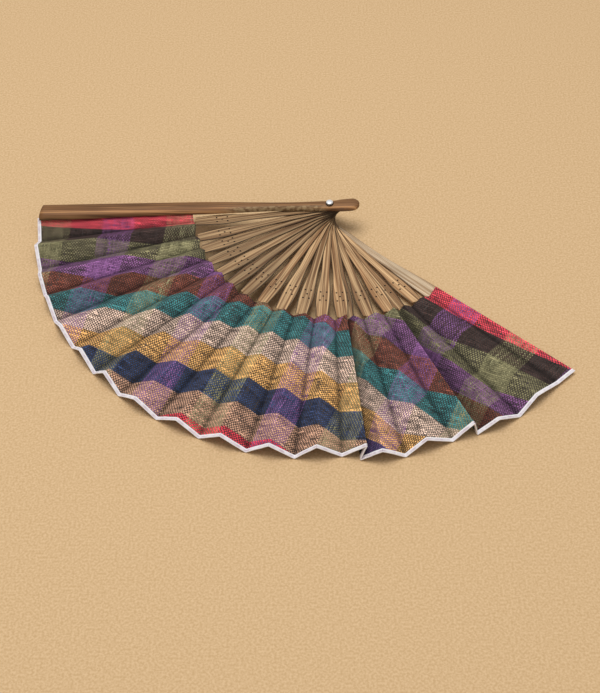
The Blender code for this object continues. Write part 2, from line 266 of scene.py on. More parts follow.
def valley_line(k):
    """The two ends of the valley between ridges k and k + 1."""
    inner = valley_end(k, leaf_inner, deep_fold_shares.get(k, valley_inner_share))
    rim = valley_end(k, leaf_rim, valley_rim_shares[k], valley_reach_shares[k])
    if k == last - 1:
        inner.z, rim.z = on_lower_guard(inner), on_lower_guard(rim)
        return inner, rim
    beside = ridge(k + 1, leaf_inner)
    angle = deep_fold_angle if k in deep_fold_shares else valley_angle
    inner.z = beside.z - hypot(beside.x - inner.x, beside.y - inner.y) * tan(radians(angle))
    rim.z = valley_rest
    return inner, rim


creases = []  # ridge, valley, ridge and so on: the inner and rim ends of each
for k in range(last):
    creases.append((ridge(k, leaf_inner), ridge(k, leaf_rim)))
    creases.append(valley_line(k))
creases.append((ridge(last, leaf_inner), ridge(last, leaf_rim)))


def crease(i, x):
    """The point of crease i at x."""
    inner, rim = creases[i]
    return inner.lerp(rim, (x - leaf_inner) / (leaf_rim - leaf_inner))


def stick_name(k):
    if k == 0:
        return "upper_guard"
    return "lower_guard" if k == last else f"rib_{k:02d}"


print("Creases in the leaf:", len(creases))

# %% [markdown]
# ## Helpers for meshes
#
# `add_piece` turns a bmesh into an object. `drawn_bar` pulls a ring of points along a stick:
# it starts from a circle, whose points are moved to the first section, and each further ring is
# extruded from the one before and moved to the section that belongs there. The face that was
# extruded stays inside the bar, so it is deleted, all but the first, which closes the near end.
# `mark_face` then gives the bar a map, stick_face, of how far along and across each place is.
# %% Mesh helpers
def add_piece(name, bm, finish, smooth=True):
    mesh = bpy.data.meshes.new(name)
    bm.to_mesh(mesh)
    bm.free()
    piece = bpy.data.objects.new(name, mesh)
    bpy.context.scene.collection.objects.link(piece)
    mesh.materials.append(finish)
    for face in mesh.polygons:
        face.use_smooth = smooth
    return piece


def drawn_bar(k, stations, section):
    """A closed bar on stick k. section(x) gives the ring's (y, z) points at x, all rings alike."""
    first = section(stations[0])
    bm = bmesh.new()
    bmesh.ops.create_circle(bm, cap_ends=True, segments=len(first), radius=reach)
    bm.verts.ensure_lookup_table()
    ring = list(bm.verts)
    for vert, (y, z) in zip(ring, first):
        vert.co = on_stick(k, stations[0], y, z)
    for x in stations[1:]:
        end = next(face for face in ring[0].link_faces if set(face.verts) == set(ring))
        made = bmesh.ops.extrude_face_region(bm, geom=[end])
        if x != stations[1]:
            bmesh.ops.delete(bm, geom=[end], context="FACES_ONLY")
        fresh = [v for v in made["geom"] if isinstance(v, bmesh.types.BMVert)]
        ring = [min(fresh, key=lambda v, old=old: (v.co - old.co).length_squared) for old in ring]
        for vert, (y, z) in zip(ring, section(x)):
            vert.co = on_stick(k, x, y, z)
    bmesh.ops.recalc_face_normals(bm, faces=bm.faces)
    return bm


def mark_face(bm, k, half_at):
    """A UV map on stick k's bar: how far along in metres, and how far across from -1 to 1."""
    layer = bm.loops.layers.uv.new("stick_face")
    for face in bm.faces:
        for loop in face.loops:
            own = Matrix.Rotation(-radians(angles[k]), 3, "Z") @ (lean_back @ loop.vert.co)
            loop[layer].uv = (own.x, (own.y - bowed(k, own.x)) / half_at(own.x))


def smooth_run(x, places):
    """A value at x, read from (place, value) pairs with smooth runs between them."""
    for (x0, w0), (x1, w1) in zip(places, places[1:]):
        if x <= x1:
            t = max(0.0, (x - x0) / (x1 - x0))
            return mixed(w0, w1, t * t * (3 - 2 * t))
    return places[-1][1]


def round_end(x, length, half):
    """The share of its width that a stick has at x, where its handle ends in a half circle."""
    inside = x + length
    if inside >= half:
        return 1.0
    return sqrt(max(0.0, 1 - ((half - inside) / half) ** 2))


# %% [markdown]
# ## Node helpers
#
# Materials are node graphs. A few short functions add a node, link it and set its values,
# so that each material below reads as a list of what it does.
# %% Node helpers
def set_inputs(tree, made, inputs):
    """Sets a node's inputs from (socket, value or output) pairs."""
    for socket, value in inputs:
        target = made.inputs[socket]
        if isinstance(value, bpy.types.NodeSocket):
            tree.links.new(value, target)
        else:
            target.default_value = value


def node(tree, kind, inputs=(), **settings):
    """A new node, with its settings made before its inputs are set."""
    made = tree.nodes.new(kind)
    for key, value in settings.items():
        setattr(made, key, value)
    set_inputs(tree, made, inputs)
    return made


def maths(tree, operation, *values):
    return node(tree, "ShaderNodeMath", enumerate(values), operation=operation).outputs[0]


def vector_maths(tree, operation, first, second):
    """As maths, for vectors. To SCALE one, second is a number."""
    socket = "Scale" if operation == "SCALE" else 1
    sockets = ((0, first), (socket, second))
    return node(tree, "ShaderNodeVectorMath", sockets, operation=operation).outputs[0]


def parts_of(tree, vector):
    """A vector's x, y and z."""
    return node(tree, "ShaderNodeSeparateXYZ", ((0, vector),)).outputs


def remap(tree, value, low, high, to_low, to_high):
    """A value that goes from to_low to to_high as the given one goes from low to high."""
    return node(tree, "ShaderNodeMapRange", enumerate((value, low, high, to_low, to_high))).outputs[0]


# %% [markdown]
# ## Colours and patterns
#
# Colours are written as they look on a screen, and `linear` turns them into light. Most finishes
# are two colours mixed by noise, then made darker or lighter by some shade.
# %% Colour helpers
def blend_colours(tree, share, first, second, blend="MIX"):
    sockets = ((0, share), (6, first), (7, second))
    return node(tree, "ShaderNodeMix", sockets, data_type="RGBA", blend_type=blend).outputs[2]


def tone_by(tree, colour, value):
    """The colour made darker or lighter. A value of 1 leaves it as it is."""
    grey = node(tree, "ShaderNodeCombineColor", ((0, value), (1, value), (2, value))).outputs[0]
    return blend_colours(tree, 1.0, colour, grey, "MULTIPLY")


def noise_at(tree, place, per_metre, detail=2.0):
    """Cloudy noise from 0 to 1, with about so many clouds to the metre."""
    sockets = (("Vector", place), ("Scale", per_metre), ("Detail", detail))
    return node(tree, "ShaderNodeTexNoise", sockets).outputs["Fac"]


def ramp_of(tree, value, stops, interpolation="LINEAR"):
    """A colour for each value from 0 to 1, from (place, colour) stops."""
    ramp = node(tree, "ShaderNodeValToRGB", ((0, value),))
    ramp.color_ramp.interpolation = interpolation
    elements = ramp.color_ramp.elements
    while len(elements) < len(stops):
        elements.new(1.0)
    for j, (at, colour) in enumerate(stops):
        elements[j].position = at
        elements[j].color = colour
    return ramp.outputs["Color"]


def shade_ramp(tree, value, painted_light_shares):
    """A grey for each value, by straight runs between the (place, shade) pairs."""
    return ramp_of(tree, value, [(at, (shade, shade, shade, 1)) for at, shade in painted_light_shares])


def linear(red, green, blue):
    """A colour as it looks on a screen, from 0 to 255, as the light that Blender works with."""
    shares = [c / 255 for c in (red, green, blue)]
    return tuple(c / 12.92 if c <= 0.04045 else ((c + 0.055) / 1.055) ** 2.4 for c in shares) + (1.0,)


def toned(colour, tone):
    return tuple(c * tone for c in colour[:3]) + (1.0,)


# %% [markdown]
# ## Materials and groups
#
# A new material starts with its shader. A pattern is laid out either by the place in the object,
# or by a map of the piece's surface. An effect that several materials use is a group of nodes.
# %% Material helpers
def new_material(name):
    """A material, its node tree and its shader."""
    made = bpy.data.materials.new(name)
    made.use_nodes = True
    return made, made.node_tree, made.node_tree.nodes["Principled BSDF"]


def object_place(tree):
    return node(tree, "ShaderNodeTexCoord").outputs["Object"]


def map_place(tree, title):
    return node(tree, "ShaderNodeUVMap", uv_map=title).outputs[0]


def raise_relief(tree, shader, height, strength, deep):
    """Lets the light follow a height on the surface, where 0 to 1 is deep metres."""
    relief = node(tree, "ShaderNodeBump", (("Strength", strength), ("Distance", deep), ("Height", height)))
    tree.links.new(relief.outputs[0], shader.inputs["Normal"])


def new_group(title, inputs, outputs):
    """An empty node group with these (name, kind) inputs and these numbers out, and its two ends."""
    made = bpy.data.node_groups.new(title, "ShaderNodeTree")
    for name, kind in inputs:
        made.interface.new_socket(name, in_out="INPUT", socket_type=kind)
    for name in outputs:
        made.interface.new_socket(name, in_out="OUTPUT", socket_type="NodeSocketFloat")
    return made, made.nodes.new("NodeGroupInput"), made.nodes.new("NodeGroupOutput")


# %% [markdown]
# ## Finish: split bamboo
#
# Bamboo is made of long parallel fibres, so its grain is streaks that run the whole length of
# a stick: broad pale and brown bands, and fine dark lines. The pattern is noise that is stretched
# a hundredfold along the stick. All the sticks use it, so it is a node group of its own.
# %% Grain group
band_along, band_across = 0.110, 0.0016
fibre_along, fibre_across = 0.050, 0.00045
blotch_along, blotch_across = 0.030, 0.006
grain_kinds = (
    (band_along, band_across, 2.0),
    (fibre_along, fibre_across, 3.0),
    (blotch_along, blotch_across, 2.0),
)


def stretched_noise(tree, vector, along, across, detail):
    """Noise with its cells along by across, in metres. Upwards it changes as slowly as along."""
    stretched = vector_maths(tree, "MULTIPLY", vector, (1 / along, 1 / across, 1 / along))
    return noise_at(tree, stretched, 1.0, detail)


grain, grain_in, grain_out = new_group("bamboo grain", (("Vector", "NodeSocketVector"),),
                                       ("Band", "Fibre", "Blotch"))
for socket, kind in enumerate(grain_kinds):
    grain.links.new(stretched_noise(grain, grain_in.outputs[0], *kind), grain_out.inputs[socket])
print("Kinds of streak in the grain:", len(grain_kinds))

# %% [markdown]
# ## Finish: one stick of bamboo
#
# Each stick turns the grain to its own direction, so that it runs along the stick. The map
# stick_face tells how far across a place is, and a ramp across the stick paints light and shade on it:
# painted shade along the edges of a stick, for its shaded sides and the gaps beside it, and a painted
# highlight along the bevels beside them. On the upper guard some shreds of the cane's greenish skin are
# left along one edge, and the end of the handle is sooty.
# %% Bamboo material
crinkle_end = 0.080
crinkle_inner_share = 0.25
crinkle_size = 0.0011
soot_reach = 0.012
fibre_relief = 0.0001


def crinkled(tree, colour, face, place):
    """Shreds of greenish skin that are left along one edge near the rivet, and a sooty handle end."""
    along, across = parts_of(tree, face)[:2]
    shreds = stretched_noise(tree, place, crinkle_size * 2.5, crinkle_size, 3.0)
    zone = maths(tree, "MULTIPLY", remap(tree, along, crinkle_end * 0.8, crinkle_end, 1, 0),
                 remap(tree, along, 0.0, crinkle_end * 0.1, 0, 1))
    side = remap(tree, across, crinkle_inner_share, crinkle_inner_share * 2, 0, 1)
    zone = maths(tree, "MULTIPLY", maths(tree, "MULTIPLY", zone, side), 0.7)
    skin = remap(tree, shreds, 0.42, 0.58, 0, 1)
    skin = blend_colours(tree, skin, linear(104, 82, 56), linear(164, 142, 106))
    colour = blend_colours(tree, zone, colour, skin)
    edge = remap(tree, maths(tree, "ABSOLUTE", across), 0.55, 0.95, 0, 1)
    flecks = maths(tree, "MULTIPLY", edge, remap(tree, shreds, 0.45, 0.6, 0, 1))
    dark_mottle = maths(tree, "MULTIPLY", remap(tree, along, 0.0, -soot_reach, 0, 1), flecks)
    return blend_colours(tree, dark_mottle, colour, linear(84, 68, 54))


def bamboo(name, angle, shift, dark, light, fibre, painted_light_shares, roughness=0.5, crinkles=False):
    """Split bamboo whose grain runs at that angle. Shift picks another stretch of the pattern.
    painted_light_shares are (place across, shade) pairs, from one edge, 0, to the other, 1: painted
    shade and painted highlights across the stick."""
    made, tree, shader = new_material(name)
    place = object_place(tree)
    turned = node(tree, "ShaderNodeMapping", (("Vector", place), ("Rotation", (0, 0, radians(-angle))),
                                              ("Location", (0, 0, shift))))
    streaks = node(tree, "ShaderNodeGroup", ((0, turned.outputs[0]),), node_tree=grain)
    band, fine, blotch = streaks.outputs
    colour = blend_colours(tree, remap(tree, band, 0.40, 0.60, 0, 1), dark, light)
    colour = blend_colours(tree, remap(tree, fine, 0.50, 0.62, 0, 0.8), colour, fibre)
    colour = tone_by(tree, colour, remap(tree, blotch, 0.3, 0.7, 0.82, 1.12))
    face = map_place(tree, "stick_face")
    across = maths(tree, "MULTIPLY_ADD", parts_of(tree, face)[1], 0.5, 0.5)
    # painted shade on the edges and painted highlights on the bevels, by the place across the stick
    colour = tone_by(tree, colour, shade_ramp(tree, across, painted_light_shares))
    if crinkles:
        colour = crinkled(tree, colour, face, place)
    sheen = remap(tree, fine, 0.3, 0.7, roughness + 0.12, roughness - 0.08)
    set_inputs(tree, shader, (("Base Color", colour), ("Roughness", sheen), ("Specular IOR Level", 0.3)))
    raise_relief(tree, shader, fine, 0.2, fibre_relief)
    return made


# %% [markdown]
# ## The ribs
#
# A rib is a flat slat with rounded edges: a round head at the rivet, a narrow neck, and a blade that
# ends squarely where the leaf starts. From there a thin tongue runs up behind the cloth and holds
# the pleat. The section is a rounded oblong that changes along the slat, and it is turned where
# the tongue lies against the leaf.
# %% Rib shape
rib_head = 0.0040
rib_neck = 0.0026
rib_neck_out = 0.0029
rib_wide = 0.0052
rib_square_end = 0.0043
neck_start = 0.012
neck_end = 0.052
wide_start = 0.080
wide_end = 0.082
plank_end = 0.0970
corner_round = 0.0012
tongue_width = 0.0030
tongue_end = 0.2060
edge_round = 0.00022
dot_radius = 0.00066
dots_long = 0.0077
dots_wide = 0.0042
pin_hole = 0.0019
top_hole_share = 0.62  # of the rib's thickness
low_hole_share = 0.22

rib_widths = (
    (-rib_handle, rib_head),
    (0.0, rib_head),
    (neck_start, rib_neck),
    (neck_end, rib_neck_out),
    (wide_start, rib_wide),
    (wide_end, rib_wide),
    (plank_end, rib_square_end),
)


def rib_ring(k, x, half, turned):
    """A rounded oblong: eight points, flat on its wide sides, with its corners cut off."""
    thick, a, side = rib_thickness(x) / 2, turn * turned, bowed(k, x)
    soft = min(edge_round, thick * 0.8)
    flat_part = max(half - soft, half * 0.5)
    points = ((-half, -thick + soft), (-flat_part, -thick), (flat_part, -thick), (half, -thick + soft),
              (half, thick - soft), (flat_part, thick), (-flat_part, thick), (-half, thick - soft))
    return [(side + y * cos(a) - z * sin(a), rib_level(k, x) + y * sin(a) + z * cos(a)) for y, z in points]


head_steps = 9
body_steps = 44
corner_steps = 6
tongue_steps = 12


def rib_stations():
    """Places along a rib with the half width of the section at each, and how far it is turned."""
    found = []
    for i in range(head_steps):
        x = -rib_handle + rib_head * (1 - cos(radians(90 * (i + 0.25) / head_steps)))
        found.append((x, rib_head * round_end(x, rib_handle, rib_head), 0))
    for i in range(body_steps + 1):
        x = mixed(-rib_handle + rib_head, plank_end - corner_round, i / body_steps)
        found.append((x, smooth_run(x, rib_widths), 0))
    for i in range(1, corner_steps):
        a = radians(90 * i / corner_steps)
        x = plank_end - corner_round + corner_round * sin(a)
        found.append((x, rib_square_end - corner_round + corner_round * cos(a), 0))
    found.append((plank_end + corner_round / 3, tongue_width / 2, 0))
    for i in range(tongue_steps + 1):
        found.append((mixed(tongue_root, tongue_end, i / tongue_steps), tongue_width / 2, 1))
    return found


print("Sections along a rib:", len(rib_stations()))

# %% [markdown]
# ## The holes in the ribs
#
# The five small holes are ornament. Their walls are painted near black, as painted shade for the depth
# of a hole. They are cut with a Boolean from both sides, and a thin dark skin is left between the two
# cuts, as painted shade, so that nothing pale shows through them. The rivet's hole goes all the way.
# %% Holes
hole_mottles_per_metre = 2500.0


def hole_shade_finish():
    """The inside of a hole, painted near black as painted shade."""
    made, tree, shader = new_material("hole_painted_shade")
    dark_mottle = noise_at(tree, object_place(tree), hole_mottles_per_metre)
    colour = blend_colours(tree, dark_mottle, linear(16, 10, 7), linear(40, 27, 18))
    set_inputs(tree, shader, (("Base Color", colour), ("Roughness", 0.9)))
    return made


hole_painted_shade = hole_shade_finish()


def drill_holes(piece, k):
    """Cuts five small holes from both sides, with a thin dark skin left in them as painted shade, and the
    rivet's hole.
    """
    bm = bmesh.new()
    thick = rib_thickness(dots_at)
    places = [(0.0, 0.0, rib_level(k, 0.0), pin_hole, 4 * rib_thick)]
    for i, j in [(-1, -1), (-1, 1), (1, -1), (1, 1), (0, 0)]:
        x, y = dots_at + i * dots_long / 2, j * dots_wide / 2
        places.append((x, y, rib_level(k, x) + thick / 2, dot_radius, thick * top_hole_share * 2))
        places.append((x, y, rib_level(k, x) - thick / 2, dot_radius, thick * low_hole_share * 2))
    for x, y, z, radius, deep in places:
        made = bmesh.ops.create_cone(bm, cap_ends=True, segments=16, radius1=radius, radius2=radius,
                                     depth=deep)
        centre = on_stick(k, x, y + bowed(k, x), z)
        bmesh.ops.transform(bm, matrix=Matrix.Translation(centre) @ lean.to_4x4(), verts=made["verts"])
    drill = add_piece("drill", bm, hole_painted_shade)
    cut = piece.modifiers.new("holes", "BOOLEAN")
    cut.operation = "DIFFERENCE"
    cut.solver = "EXACT"
    cut.material_mode = "TRANSFER"
    cut.object = drill
    drilled = piece.evaluated_get(bpy.context.evaluated_depsgraph_get())
    made_mesh = bpy.data.meshes.new_from_object(drilled)
    piece.modifiers.clear()
    piece.data = made_mesh
    bpy.data.objects.remove(drill)


# %% [markdown]
# ## One rib for each crease
#
# Slats cut from different canes differ in tone, so each rib has its own share of the same three
# colours, and its own stretch of the grain.
# %% Make the ribs
rib_tone_shares = (0.79, 0.76, 0.79, 0.69, 0.8, 0.61, 0.68, 1.11, 1.07,
                   0.92, 1.14, 1.22, 0.76, 1.0, 1.29, 1.0, 1.3)
# painted shade on each rib's edges, for its shaded sides and the dark gaps between ribs, and painted
# highlights on its bevels
rib_painted_light_shares = ((0.0, 0.22), (0.06, 0.32), (0.10, 1.0), (0.14, 1.22), (0.20, 1.0),
                    (0.80, 0.96), (0.86, 1.2), (0.90, 0.9), (0.94, 0.30), (1.0, 0.22))
rib_colours = (linear(138, 101, 66), linear(204, 168, 124), linear(92, 62, 38))
grain_step = 0.31

for k in range(1, last):
    colours = [toned(colour, rib_tone_shares[k - 1]) for colour in rib_colours]
    finish = bamboo(f"bamboo_rib_{k:02d}", angles[k], grain_step * k, *colours, rib_painted_light_shares)
    stations = rib_stations()
    section = {x: (half, turned) for x, half, turned in stations}
    bar = drawn_bar(k, [s[0] for s in stations], lambda x, k=k: rib_ring(k, x, *section[x]))
    mark_face(bar, k, lambda x: smooth_run(x, rib_widths))
    rib = add_piece(f"bamboo_{k:02d}", bar, finish, smooth=False)
    drill_holes(rib, k)
    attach(rib, stick_name(k))
    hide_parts(f"rib_{k:02d}")
print("Ribs:", rib_count, "of", len(rib.data.polygons), "faces")

# %% [markdown]
# ## The guards
#
# A guard is a thicker stick, split from the outer wall of the cane. Its inner face is flat and pale,
# and its outer face keeps the hard dark bark, which is rounded. The upper guard shows its bark
# and the lower guard its inner face. Cane is never quite straight, so the upper guard sways a little
# to the side along its length.
# %% Guard shape
guard_head = 0.0058
guard_at_rivet = 0.0044
guard_neck = 0.0034
guard_at_leaf = 0.0056
guard_tip = 0.0068
tip_slant = 0.0020
guard_edge = 0.0007
neck_at = 0.030
lower_neck_at = 0.045
lower_guard_neck = 0.0031
lower_guard_at_leaf = 0.0062
upper_guard_at_leaf = 0.0058
upper_guard_tip = 0.0073
handle_sway = -0.0016
rivet_sway = -0.0003
leaf_sway = -0.0009
tip_sway = 0.0002

guard_widths = (
    (-guard_handle, guard_head),
    (-guard_handle / 2, guard_head),
    (0.0, guard_at_rivet),
    (neck_at, guard_neck),
    (leaf_inner, guard_at_leaf),
    (reach, guard_tip),
)
lower_guard_widths = guard_widths[:3] + (
    (lower_neck_at, lower_guard_neck),
    (leaf_inner, lower_guard_at_leaf),
    (reach, guard_tip),
)
upper_guard_widths = guard_widths[:4] + (
    (leaf_inner, upper_guard_at_leaf),
    (reach, upper_guard_tip),
)
upper_guard_sway = (
    (-guard_handle, handle_sway),
    (0.0, rivet_sway),
    (leaf_inner, leaf_sway),
    (reach, tip_sway),
)

arch_steps = 10
arch_power = 0.6
arch_narrowing_share = 0.10
end_steps = 10
blade_steps = 60
end_thick_share = 0.55


def guard_ring(half, base, thick, face):
    """A flat inner face with rounded corners, and a low arch of bark."""
    soft = guard_edge / 3
    points = [(-half, soft), (-half + soft, 0), (half - soft, 0), (half, soft)]
    for i in range(arch_steps + 1):
        a = radians(180 * i / arch_steps)
        bulge = sin(a) ** arch_power
        points.append((half * cos(a) * (1 - arch_narrowing_share * bulge),
                       guard_edge + (thick - guard_edge) * bulge))
    return [(y, base + z * face) for y, z in points]


def make_guard(k, widths, inner_level, root_thick, tip_thick, face, finish, sway=((0.0, 0.0),)):
    """A guard on stick k. face is 1 where its bark looks up, and -1 where it looks down."""
    quarter = [radians(90 * (i + 0.25) / end_steps) for i in range(end_steps)]
    stations = [-guard_handle + guard_head * (1 - cos(a)) for a in quarter]
    stations += [mixed(-guard_handle + guard_head, reach, i / blade_steps) for i in range(blade_steps + 1)]

    def section(x):
        half = smooth_run(x, widths) * round_end(x, guard_handle, guard_head)
        thick = mixed(root_thick, tip_thick, max(x, 0) / reach)
        thick *= mixed(end_thick_share, 1.0, round_end(x, guard_handle, guard_head))
        aside = smooth_run(x, sway)
        return [(y + aside, z) for y, z in guard_ring(half, inner_level(x), thick, face)]

    bm = drawn_bar(k, stations, section)
    slant = radians(angles[k])
    for vert in bm.verts:
        own = Matrix.Rotation(-slant, 3, "Z") @ (lean_back @ vert.co)
        if own.x > reach - gap:
            back = tip_slant * (own.y / guard_tip - 1) / 2
            vert.co += lean @ Vector((back * cos(slant), back * sin(slant), 0))
    mark_face(bm, k, lambda x: smooth_run(x, widths))
    piece = add_piece(f"{stick_name(k)}_cane", bm, finish)
    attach(piece, stick_name(k))
    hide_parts(stick_name(k))
    print(piece.name, "has", len(piece.data.polygons), "faces")


# %% [markdown]
# ## Bark above, pale wood below
#
# Both guards have the same grain as the ribs, in their own colours. The bark is darker, with a painted
# highlight along the bevel that faces the leaf. Both guards have painted shade along their edges.
# %% Make the guards
# painted shade on the edges of each guard, and on the bark a painted highlight along the bevel that faces
# the leaf
bark_painted_light_shares = ((0.0, 0.75), (0.12, 0.9), (0.5, 0.92), (0.62, 1.0),
                     (0.72, 1.4), (0.86, 1.3), (0.95, 0.9), (1.0, 0.7))
pale_painted_light_shares = ((0.0, 0.8), (0.06, 1.0), (0.94, 1.0), (1.0, 0.8))
bark = bamboo("bamboo_bark", angles[0], 0.3, linear(112, 75, 44), linear(162, 118, 76),
              linear(84, 54, 32), bark_painted_light_shares, 0.6, crinkles=True)
pale = bamboo("bamboo_inner", angles[last], 0.4, linear(172, 142, 108), linear(222, 198, 166),
              linear(132, 100, 70), pale_painted_light_shares, 0.5)
make_guard(0, upper_guard_widths, upper_guard_level, guard_thick, guard_tip_thick, 1, bark,
           upper_guard_sway)
make_guard(last, lower_guard_widths, lower_guard_top, lower_guard_thick, lower_guard_tip_thick, -1, pale)

# %% [markdown]
# ## The rivet
#
# A bright domed cap sits on a dark washer on top of the upper guard. The pin goes down through every
# stick and ends in a flat tail. Each is a profile that is spun round the rivet's axis.
# The metal is a little dull and scratched, as a plated rivet is, which noise in its roughness gives.
# %% Rivet helpers
merge_within = 0.00001
scratches_per_metre = 900.0


def spun(name, profile, finish, body, stands_for, steps=32):
    """A round piece about the rivet's axis, from (radius, height) points."""
    bm = bmesh.new()
    verts = [bm.verts.new((r, 0, z)) for r, z in profile]
    edges = [bm.edges.new(pair) for pair in zip(verts, verts[1:])]
    bmesh.ops.spin(bm, geom=verts + edges, cent=(0, 0, 0), axis=(0, 0, 1), angle=2 * pi, steps=steps,
                   use_merge=True)
    bmesh.ops.remove_doubles(bm, verts=bm.verts, dist=merge_within)
    bmesh.ops.recalc_face_normals(bm, faces=bm.faces)
    bmesh.ops.transform(bm, matrix=lean.to_4x4(), verts=bm.verts)
    piece = add_piece(name, bm, finish)
    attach(piece, body)
    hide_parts(stands_for)
    return piece


def metal(name, colour, roughness, scratch, shine=1.0):
    made, tree, shader = new_material(name)
    wear = noise_at(tree, object_place(tree), scratches_per_metre, 3.0)
    tint = blend_colours(tree, remap(tree, wear, 0.35, 0.7, 0, 0.5), colour, toned(colour, 0.6))
    sheen = remap(tree, wear, 0.3, 0.7, roughness - scratch, roughness + scratch)
    set_inputs(tree, shader, (("Base Color", tint), ("Roughness", sheen), ("Metallic", shine)))
    return made


# %% [markdown]
# ## Cap, washer and pin
#
# The three profiles stand on the levels of the sticks, so they close round whatever lies between.
# %% Make the rivet
pin_radius = 0.0016
tail_radius = 0.0032
tail_edge = 0.0003
washer_radius = 0.0029
cap_radius = 0.0025
cap_rise = 0.0010
cap_rim = 0.0003
washer_top = washer_base + washer_thick
washer_hole = pin_radius + gap

bright = metal("rivet_bright", linear(250, 250, 252), 0.40, 0.08, 0.6)
dull = metal("rivet_dark", linear(70, 60, 52), 0.45, 0.1)
dome = [(0.0, cap_base), (cap_radius, cap_base)]
for a in range(90, 0, -9):
    dome.append((cap_radius * sin(radians(a)), cap_base + cap_rim + cap_rise * cos(radians(a))))
dome.append((0.0, cap_base + cap_rim + cap_rise))
ring = [(washer_hole, washer_top), (washer_hole, washer_base), (washer_radius, washer_base),
        (washer_radius, washer_base + washer_thick / 2),
        (washer_radius - washer_thick / 2, washer_top), (washer_hole, washer_top)]
shaft = [(0.0, 0.0), (tail_radius, 0.0), (tail_radius, tail_thick - tail_edge),
         (tail_radius - tail_edge, tail_thick), (pin_radius, tail_thick),
         (pin_radius, washer_top), (0.0, washer_top)]
cap = spun("rivet_dome", dome, bright, "lower_guard", "rivet_cap")
washer = spun("rivet_ring", ring, dull, "lower_guard", "rivet_washer")
pin = spun("rivet_shaft", shaft, bright, "lower_guard", "rivet_pin")
print("The cap's top in metres over the table:", round(dome[-1][1], 4))

# %% [markdown]
# ## The leaf, laid flat
#
# The leaf was cut flat, as a half ring, from cloth with straight checks, and then pleated. Each place
# on the folded leaf therefore gets its place on the flat one: the distance from the rivet, and an
# angle. The pleats were pressed by hand, so they are not quite even, and at the inner edge each takes
# a little more cloth than it would if its crease ran straight to the rivet. The two tables of shares
# say how much cloth each pleat takes. The flat places go into a UV map, in metres.
# %% Flat leaf
flat_rim_start, flat_rim_spread = 3.0, 172.5
flat_inner_start, flat_inner_spread = 1.4, 177.5
flat_rim_shares = (1.09, 1.03, 0.97, 1.05, 1.04, 0.98, 1.02, 1.06, 0.86,
                   1.01, 0.93, 0.95, 1.04, 0.99, 1.01, 0.96, 0.94, 1.05)
flat_inner_shares = (1.07, 1.03, 0.88, 1.12, 0.98, 0.88, 0.93, 1.05, 0.96,
                     1.02, 0.98, 0.90, 1.28, 0.98, 0.89, 1.09, 0.86, 1.06)


def flat_crease_angles(start, opening, shares, x):
    """The angle of each crease on the flat leaf. A valley divides its pleat as the two panels do."""
    found = [radians(start)]
    for k, share in enumerate(shares):
        pleat = radians(opening) * share / sum(shares)
        widths = [(crease(2 * k + j + 1, x) - crease(2 * k + j, x)).length for j in (0, 1)]
        found.append(found[-1] + pleat * widths[0] / sum(widths))
        found.append(found[-2] + pleat)
    return found


flat_rim = flat_crease_angles(flat_rim_start, flat_rim_spread, flat_rim_shares, leaf_rim)
flat_inner = flat_crease_angles(flat_inner_start, flat_inner_spread, flat_inner_shares, leaf_inner)
print("The flat leaf opens to", round(degrees(flat_rim[-1] - flat_rim[0]), 1), "degrees at its rim")


def flat_angle(i, share, x):
    out = (x - leaf_inner) / (leaf_rim - leaf_inner)
    first = mixed(flat_inner[i], flat_rim[i], out)
    return mixed(first, mixed(flat_inner[i + 1], flat_rim[i + 1], out), share)


def flat_place(i, share, x):
    """Where a point of panel i is on the flat leaf, in metres from the rivet."""
    a = flat_angle(i, share, x)
    return -x * cos(a), x * sin(a)


# %% [markdown]
# ## The folded leaf
#
# Each pleat is one piece of cloth from ridge to ridge, with its valley between. It starts as a flat
# grid whose rows run from rib to rib, and every point is moved to its place on the fold.
# Creases are pressed but never razor sharp, so near a crease the point rides on a small curve.
# `leaf_point` gives that place, and `panel_normal` the direction in which the cloth looks there.
# %% Fold the cloth
ridge_round = 0.0005
valley_round = 0.0008
across_count = 26
along_count = 70
normal_step = 0.0004
normal_share = 0.02


def rounding(i):
    return ridge_round if i % 2 == 0 else valley_round


def bend_point(i, x, side, reach_in):
    """A point on the rounded crease i, reach_in away from the crease on that side (-1 or 1)."""
    here = crease(i, x)
    if i in (0, len(creases) - 1):
        other = crease(i + side, x)
        return here + (other - here).normalized() * reach_in
    r = rounding(i)
    before, after = [(crease(i + s, x) - here).normalized() * r for s in (-1, 1)]
    t = 0.5 + side * reach_in / (2 * r)
    return here + before * (1 - t) ** 2 + after * t ** 2


def leaf_point(i, share, x):
    """A point of panel i, between creases i and i + 1, on the rounded leaf."""
    a, b = crease(i, x), crease(i + 1, x)
    wide = (b - a).length
    from_a, from_b = share * wide, (1 - share) * wide
    if from_a < rounding(i):
        return bend_point(i, x, 1, from_a)
    if from_b < rounding(i + 1):
        return bend_point(i + 1, x, -1, from_b)
    return a.lerp(b, share)


def panel_normal(i, share, x):
    """The direction, upwards, in which the cloth of panel i looks there."""
    low, high = max(0.0, share - normal_share), min(1.0, share + normal_share)
    aside = leaf_point(i, high, x) - leaf_point(i, low, x)
    outwards = leaf_point(i, share, x + normal_step) - leaf_point(i, share, x - normal_step)
    normal = aside.cross(outwards).normalized()
    return normal if normal.z > 0 else -normal


print("A place in the middle of the leaf:", leaf_point(last, 0.5, mixed(leaf_inner, leaf_rim, 0.5)))


